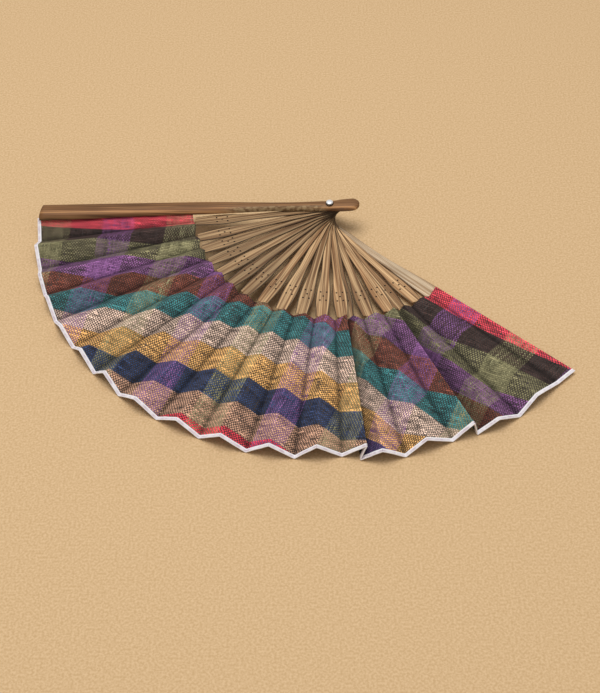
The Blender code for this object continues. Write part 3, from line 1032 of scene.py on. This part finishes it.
# %% [markdown]
# ## Cloth that isn't quite flat
#
# Between two creases the cloth bows out a little and has soft ripples, which noise gives. The folds
# also get painted light: each valley is painted dark, as painted shade, and each ridge pale, as a
# painted highlight. So the grid gets a second map, fold, which tells how far each place is up from its
# valley. The two tucked pleats lie in their neighbours' shade, and are painted dark all over. A few
# panels are painted lighter or darker as a whole, as painted light and shade.
# %% Cloth grid
bow_height = 0.0004
ripple_height = 0.00022
leaf_back = 0.0008  # how far the cloth ends inside the rim, where the tape goes round it
# the tucked pleats count this low all over, so they are painted dark, as painted shade
tucked_share = 0.16
# painted light and shade for whole panels
panel_painted_light_shares = {0: 0.95, 2: 0.88, 3: 0.9, 4: 1.25, 6: 0.8, 8: 1.2, 10: 0.92, 11: 0.88,
                     22: 1.12, 28: 1.1}


def billow(i, share, x):
    """How far the cloth stands off its panel: a soft bow, and small ripples that run outwards."""
    middle = sin(pi * share)
    low_wave = bow_height * middle * (noise.noise(Vector((i * 3.7, x * 18, 0.5))) + 0.3)
    ripple = ripple_height * noise.noise(Vector((i * 5.1 + share * 4.0, x * 45, 2.0))) * middle
    return low_wave + ripple


# a pleat's columns lie closer together near its creases
columns = [0.5 - 0.5 * cos(pi * j / across_count) for j in range(across_count + 1)]


def fold_place(i, share):
    """How far from its valley, 0, to its ridge, 1, a point of panel i is, and the panel's painted light and
    shade.
    """
    up = share if i % 2 else 1 - share
    if i // 2 in deep_fold_shares:
        up *= tucked_share
    return up, panel_painted_light_shares.get(i, 1.0)


def cloth_grid(panels, rows, place):
    """A grid over neighbouring panels. place(i, share, row) gives the point and its flat place."""
    bm = bmesh.new()
    total = len(panels) * across_count
    bmesh.ops.create_grid(bm, x_segments=total, y_segments=rows, size=0.5)
    flat_layer = bm.loops.layers.uv.new("flat_leaf")
    fold_layer = bm.loops.layers.uv.new("fold")
    flat_at, fold_at = {}, {}
    for vert in bm.verts:
        column = round((vert.co.x + 0.5) * total)
        row = round((vert.co.y + 0.5) * rows)
        panel = min(column // across_count, len(panels) - 1)
        share = columns[column - panel * across_count]
        vert.co, flat_at[vert] = place(panels[panel], share, row)
        fold_at[vert] = fold_place(panels[panel], share)
    for face in bm.faces:
        for loop in face.loops:
            loop[flat_layer].uv = flat_at[loop.vert]
            loop[fold_layer].uv = fold_at[loop.vert]
    return bm


def cloth_place(i, share, row):
    """The point of the cloth on panel i, and its place on the flat leaf."""
    x = mixed(leaf_inner, leaf_rim - leaf_back, row / along_count)
    point = leaf_point(i, share, x) + panel_normal(i, share, x) * billow(i, share, x)
    return point, flat_place(i, share, x)


print("Columns across a panel:", across_count)

# %% [markdown]
# ## A pleat between two sticks
#
# A pleat hangs between two sticks. Here its place is only baked into its mesh, so it doesn't follow
# its sticks as the fan opens and closes. Beside the two tucked pleats no joint joins the two sticks.
# `hold` works out a ridge and a blend width for each pleat: the first ridge, or beside the tucked
# pleats the second ridge moved aside by most of the pleat's width. Nothing uses them.
# %% Cloth between sticks
joined = [{joint["parent"], joint["child"]} for joint in frame["joints"]]
blend_width_share = 0.9


def across_ridge(k):
    """The inner end of ridge k, and the direction across it in the plane of the fan."""
    a, b = ridge(k, leaf_inner), ridge(k, leaf_rim)
    up = lean @ Vector((0, 0, 1))
    return a, up.cross((b - a).normalized()).normalized()


def hold(piece, k):
    """Bakes pleat k's place into its mesh. A ridge, a direction across it and a blend width are worked out,
    but nothing uses them.
    """
    width = leaf_inner * sin(radians(angles[k + 1] - angles[k])) * blend_width_share
    if {stick_name(k), stick_name(k + 1)} in joined:
        a, sideways = across_ridge(k)
    else:
        a, sideways = across_ridge(k + 1)
        a = a - sideways * width
    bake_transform(piece)


def folded_piece(name, k, rows, place, finish, thick):
    """Pleat k of the cloth or of the tape, with its thickness, its place baked by hold."""
    piece = add_piece(f"{name}_{k + 1:02d}", cloth_grid([2 * k, 2 * k + 1], rows, place), finish)
    wall = piece.modifiers.new("thickness", "SOLIDIFY")
    wall.thickness = thick
    wall.offset = 0
    hold(piece, k)
    return piece


def cut_width(k, x):
    """How wide the cloth of pleat k is at x, over its folds."""
    return sum((crease(i + 1, x) - crease(i, x)).length for i in (2 * k, 2 * k + 1))


print("A pleat's cloth at the rim in metres:", round(cut_width(0, leaf_rim), 4))

# %% [markdown]
# ## Finish: yarn dyed checks
#
# The cloth is a plain weave of thick uneven yarns. The yarns one way are green, black and purple in
# wide stripes, and the yarns the other way change from red through olive, purple, brown, teal, pink,
# mustard and navy to tan. Where they cross, both colours show, a thread of one over a thread of the
# other. The group below weaves any two colours: it tells which thread is on top at each place.
# Thick and thin stretches of each yarn, called slubs, let one colour win over the other for a while.
# %% Weave group
thread = 0.00095  # from thread to thread of the warp
weft_thread_share = 1.25
wobbles_per_metre = 160.0
wobble_size = 0.0016
slub_share = 0.10  # how slowly a slub changes along its thread
first_thread = 1000.0  # keeps the threads' numbers above zero
weave, weave_in, weave_out = new_group(
    "plain weave", (("Vector", "NodeSocketVector"), ("Threads per metre", "NodeSocketFloat")),
    ("Warp on top", "Height", "Warp tone", "Weft tone"))


def arch(tree, place):
    """The round top of a thread, from 0 at its sides to 1 in its middle."""
    return maths(tree, "SINE", maths(tree, "MULTIPLY", maths(tree, "FRACT", place), pi))


def build_weave(tree, source, sink):
    """Warp threads run along Y and are counted along X, and weft threads the other way."""
    wobble = node(tree, "ShaderNodeTexNoise", (("Vector", source.outputs[0]),
                                               ("Scale", wobbles_per_metre), ("Detail", 2.0)))
    centred = vector_maths(tree, "SUBTRACT", wobble.outputs["Color"], (0.5, 0.5, 0.5))
    pushed = vector_maths(tree, "SCALE", centred, wobble_size)
    place = vector_maths(tree, "ADD", source.outputs[0], pushed)
    counted = vector_maths(tree, "SCALE", place, source.outputs[1])
    counted = vector_maths(tree, "MULTIPLY", counted, (1, 1 / weft_thread_share, 1))
    x, y = parts_of(tree, counted)[:2]
    warp_number, weft_number = maths(tree, "FLOOR", x), maths(tree, "FLOOR", y)
    crossing = maths(tree, "ADD", warp_number, maths(tree, "ADD", weft_number, first_thread))
    turn_about = maths(tree, "MODULO", crossing, 2.0)
    arch_x, arch_y = arch(tree, x), arch(tree, y)
    height_warp = maths(tree, "MULTIPLY", arch_x, maths(tree, "MULTIPLY_ADD", arch_y, 0.55, 0.45))
    height_weft = maths(tree, "MULTIPLY", arch_y, maths(tree, "MULTIPLY_ADD", arch_x, 0.55, 0.45))
    slubs = []
    for number, along, seed in ((warp_number, y, 7.4), (weft_number, x, 11.1)):
        own_row = maths(tree, "MULTIPLY", number, 7.31)
        slow = maths(tree, "MULTIPLY", along, slub_share)
        spot = node(tree, "ShaderNodeCombineXYZ", ((0, own_row), (1, slow), (2, seed)))
        slubs.append(noise_at(tree, spot.outputs[0], 1.0, 3.0))
    thicker = maths(tree, "SUBTRACT", slubs[0], slubs[1])
    shown = maths(tree, "MULTIPLY_ADD", thicker, 1.6, maths(tree, "MULTIPLY_ADD", turn_about, 0.80, 0.10))
    top = maths(tree, "MULTIPLY", remap(tree, shown, 0.36, 0.64, 0.0, 1.0),
                remap(tree, arch_x, 0.25, 0.55, 0.25, 1.0))
    picked = node(tree, "ShaderNodeMix", ((0, top), (2, height_weft), (3, height_warp)), data_type="FLOAT")
    set_inputs(tree, sink, ((0, top), (1, picked.outputs[0])))
    for slub, socket in zip(slubs, (2, 3)):
        tree.links.new(remap(tree, slub, 0.32, 0.68, 0.42, 1.62), sink.inputs[socket])


build_weave(weave, weave_in, weave_out)
print("Warp threads to the metre:", round(1 / thread))

# %% [markdown]
# ## The order of the checks
#
# The yarns that run along the leaf's bands change colour every 21 mm or so, and those that cross
# them every 23 mm. Each table names its colours in order, and a ramp with hard steps picks one
# by the place on the flat leaf. The fold map then paints shade into the cloth's valleys and light onto its
# ridges.
# %% Plaid material
band_width = 0.0208
first_band_end = 0.0166  # how far the first red band reaches in from the leaf's straight edges
weft_colours = (
    linear(232, 76, 91),  # red
    linear(67, 50, 46),  # black brown
    linear(122, 116, 85),  # olive
    linear(129, 85, 130),  # purple
    linear(124, 70, 56),  # rust
    linear(64, 125, 127),  # teal
    linear(217, 188, 169),  # pale pink
    linear(223, 171, 105),  # mustard
    linear(51, 65, 97),  # navy
    linear(194, 151, 125),  # tan
    linear(222, 70, 84),  # red
)
stripe_width = 0.02327
green_centre = -0.0134
warp_colours = (
    linear(122, 118, 88),  # green
    linear(55, 49, 47),  # black
    linear(114, 77, 122),  # purple
    linear(55, 49, 47),  # black
)
# painted shade in each valley and a painted highlight on each ridge
fold_shade_shares = ((0.0, 0.36), (0.06, 0.48), (0.15, 0.78), (0.28, 0.96),
                     (0.60, 1.0), (0.92, 1.04), (1.0, 1.22))
painted_wrinkles_per_metre = 150.0
weave_relief = 0.0002


def stepped_colours(tree, value, colours):
    """The colour whose number is the whole part of value."""
    stops = [(j / len(colours), colour) for j, colour in enumerate(colours)]
    return ramp_of(tree, maths(tree, "DIVIDE", value, float(len(colours))), stops, "CONSTANT")


def woven_at(tree, place, per_metre):
    sockets = (("Vector", place), ("Threads per metre", per_metre))
    return node(tree, "ShaderNodeGroup", sockets, node_tree=weave).outputs


def leaf_finish():
    made, tree, shader = new_material("leaf_plaid")
    place = map_place(tree, "flat_leaf")
    x, y = parts_of(tree, place)[:2]
    warp_on_top, height, warp_tone, weft_tone = woven_at(tree, place, 1 / thread)
    band = maths(tree, "DIVIDE", maths(tree, "SUBTRACT", y, first_band_end), band_width)
    weft = stepped_colours(tree, maths(tree, "ADD", band, 1.0), weft_colours)
    stripe = maths(tree, "SUBTRACT", x, green_centre - stripe_width / 2)
    stripe = maths(tree, "DIVIDE", stripe, stripe_width)
    stripe = maths(tree, "FLOORED_MODULO", stripe, float(len(warp_colours)))
    warp = stepped_colours(tree, stripe, warp_colours)
    warp, weft = tone_by(tree, warp, warp_tone), tone_by(tree, weft, weft_tone)
    colour = blend_colours(tree, warp_on_top, weft, warp)
    # painted shade between the threads and painted light on their tops
    colour = tone_by(tree, colour, remap(tree, height, 0.05, 0.7, 0.35, 1.25))
    # painted light and shade of soft wrinkles
    painted_wrinkle_shading = noise_at(tree, place, painted_wrinkles_per_metre, 3.0)
    colour = tone_by(tree, colour, remap(tree, painted_wrinkle_shading, 0.3, 0.7, 0.88, 1.12))
    # painted shade in the valleys, painted highlights on the ridges, and painted light and shade on whole
    # panels
    up, panel_painted_light = parts_of(tree, map_place(tree, "fold"))[:2]
    colour = tone_by(tree, colour, shade_ramp(tree, up, fold_shade_shares))
    colour = tone_by(tree, colour, panel_painted_light)
    set_inputs(tree, shader, (("Base Color", colour), ("Roughness", 0.85), ("Specular IOR Level", 0.2)))
    raise_relief(tree, shader, height, 0.35, weave_relief)
    return made


plaid = leaf_finish()
print("Colours one way:", len(weft_colours), "and the other:", len(warp_colours))

for k in range(last):
    pleat = folded_piece("leaf_pleat", k, along_count, cloth_place, plaid, cloth)
    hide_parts(f"leaf_free_{k + 1:02d}", f"leaf_glued_{k + 1:02d}")
print("Pleats:", last, "of", len(pleat.data.polygons), "faces")

# %% [markdown]
# ## The rim tape
#
# A narrow woven tape is folded over the leaf's rim and pressed flat. It is thin enough to let a
# little of the cloth show through in its middle, and its woven edges are whiter.
# Its section is a U round the cloth's edge, carried along every fold.
# %% Tape helpers
tape_width = 0.0022
tape_thick = 0.00022
tape_room = 0.00030
tape_rows = 14
tape_back = 0.0004  # how far inside the rim the tape's fold begins
face_share = 0.36  # of the way round the U, on each face
tape_threads_per_metre = 1500.0
tape_edge = 0.0004
tape_sheer_from = 0.0008
mottles_per_metre = 260.0
tape_relief = 0.00015


def tape_profile(row):
    """How far from the rim and from the cloth's middle the tape is, round its U."""
    t = row / tape_rows
    if t < face_share:
        return mixed(-tape_width, 0.0, t / face_share), tape_room
    if t > 1 - face_share:
        return mixed(0.0, -tape_width, (t - 1 + face_share) / face_share), -tape_room
    a = radians(90 - 180 * (t - face_share) / (1 - 2 * face_share))
    return tape_room * cos(a), tape_room * sin(a)


def tape_place(i, share, row):
    """The point of the tape on panel i, and its place on the flat tape: along the rim and round the U."""
    back, off = tape_profile(row)
    x = leaf_rim - tape_back + back
    point = leaf_point(i, share, x) + panel_normal(i, share, x) * (off + billow(i, share, x))
    around = row / tape_rows * 2 * tape_width
    return point, (mixed(flat_rim[i], flat_rim[i + 1], share) * leaf_rim, around)


def tape_finish():
    made, tree, shader = new_material("rim_tape")
    place = map_place(tree, "flat_leaf")
    height = woven_at(tree, place, tape_threads_per_metre)[1]
    from_edge = maths(tree, "PINGPONG", parts_of(tree, place)[1], tape_width / 2)
    inner = remap(tree, from_edge, tape_edge, tape_sheer_from, 0, 1)
    mottle = noise_at(tree, place, mottles_per_metre)
    sheer = maths(tree, "MULTIPLY", inner, remap(tree, mottle, 0.35, 0.65, 0.2, 1.0))
    colour = blend_colours(tree, sheer, linear(250, 247, 250), linear(206, 190, 200))
    # painted shade between the tape's threads
    colour = tone_by(tree, colour, remap(tree, height, 0.0, 0.8, 0.86, 1.0))
    set_inputs(tree, shader, (("Base Color", colour), ("Roughness", 0.8)))
    raise_relief(tree, shader, height, 0.4, tape_relief)
    return made


print("Tape round its U in metres:", round(2 * tape_width + tape_room, 4))

# %% [markdown]
# ## One strip of tape for each pleat
#
# The tape is cut where the pleats are, and each strip is placed as its pleat is. A sheet has to
# be at least 10 mm wide to be stated, so the strip's width is given as that, with its real area.
# %% Make the tape
white_tape = tape_finish()
for k in range(last):
    strip = folded_piece("rim_tape", k, tape_rows, tape_place, white_tape, tape_thick)
print("Strips of tape:", last, "of", len(strip.data.polygons), "faces")

# %% [markdown]
# ## Floor and light
#
# A plain pale floor, and soft light from straight above, as from a large window in a ceiling.
# A large lamp high up lights the two sides of each fold almost alike, and lets soft shadows
# gather under the leaf's rim. The faint light of the room fills the gaps.
# %% Floor and lamp
floor_size = 6.0
flecks_per_metre = 700.0
room_colour = (1.0, 0.98, 0.95, 1)
room_light = 0.45
lamp_at = Vector((-0.22, 0.0, 1.9))
lamp_faces = Vector((0, -0.1, 0))
lamp_size = 1.1
lamp_power = 25.5

floor_bm = bmesh.new()
bmesh.ops.create_grid(floor_bm, x_segments=1, y_segments=1, size=floor_size)
floor_finish, floor_tree, floor_shader = new_material("floor_paper")
fleck = noise_at(floor_tree, object_place(floor_tree), flecks_per_metre, 3.0)
floor_colour = blend_colours(floor_tree, remap(floor_tree, fleck, 0.35, 0.65, 0, 1),
                             linear(200, 166, 121), linear(219, 186, 143))
set_inputs(floor_tree, floor_shader, (("Base Color", floor_colour), ("Roughness", 0.9)))
floor = add_piece("floor", floor_bm, floor_finish)

world = bpy.data.worlds.new("soft room")
bpy.context.scene.world = world
world.use_nodes = True
room = world.node_tree.nodes["Background"]
set_inputs(world.node_tree, room, (("Color", room_colour), ("Strength", room_light)))

lamp_data = bpy.data.lights.new("key lamp", "AREA")
lamp_data.size = lamp_size
lamp_data.energy = lamp_power
lamp = bpy.data.objects.new("key lamp", lamp_data)
bpy.context.scene.collection.objects.link(lamp)
lamp.location = lamp_at
lamp.rotation_euler = (lamp_faces - lamp_at).to_track_quat("-Z", "Y").to_euler()
bpy.context.scene.view_settings.view_transform = "Standard"
print("Lamp in metres over the table:", lamp_at.z)
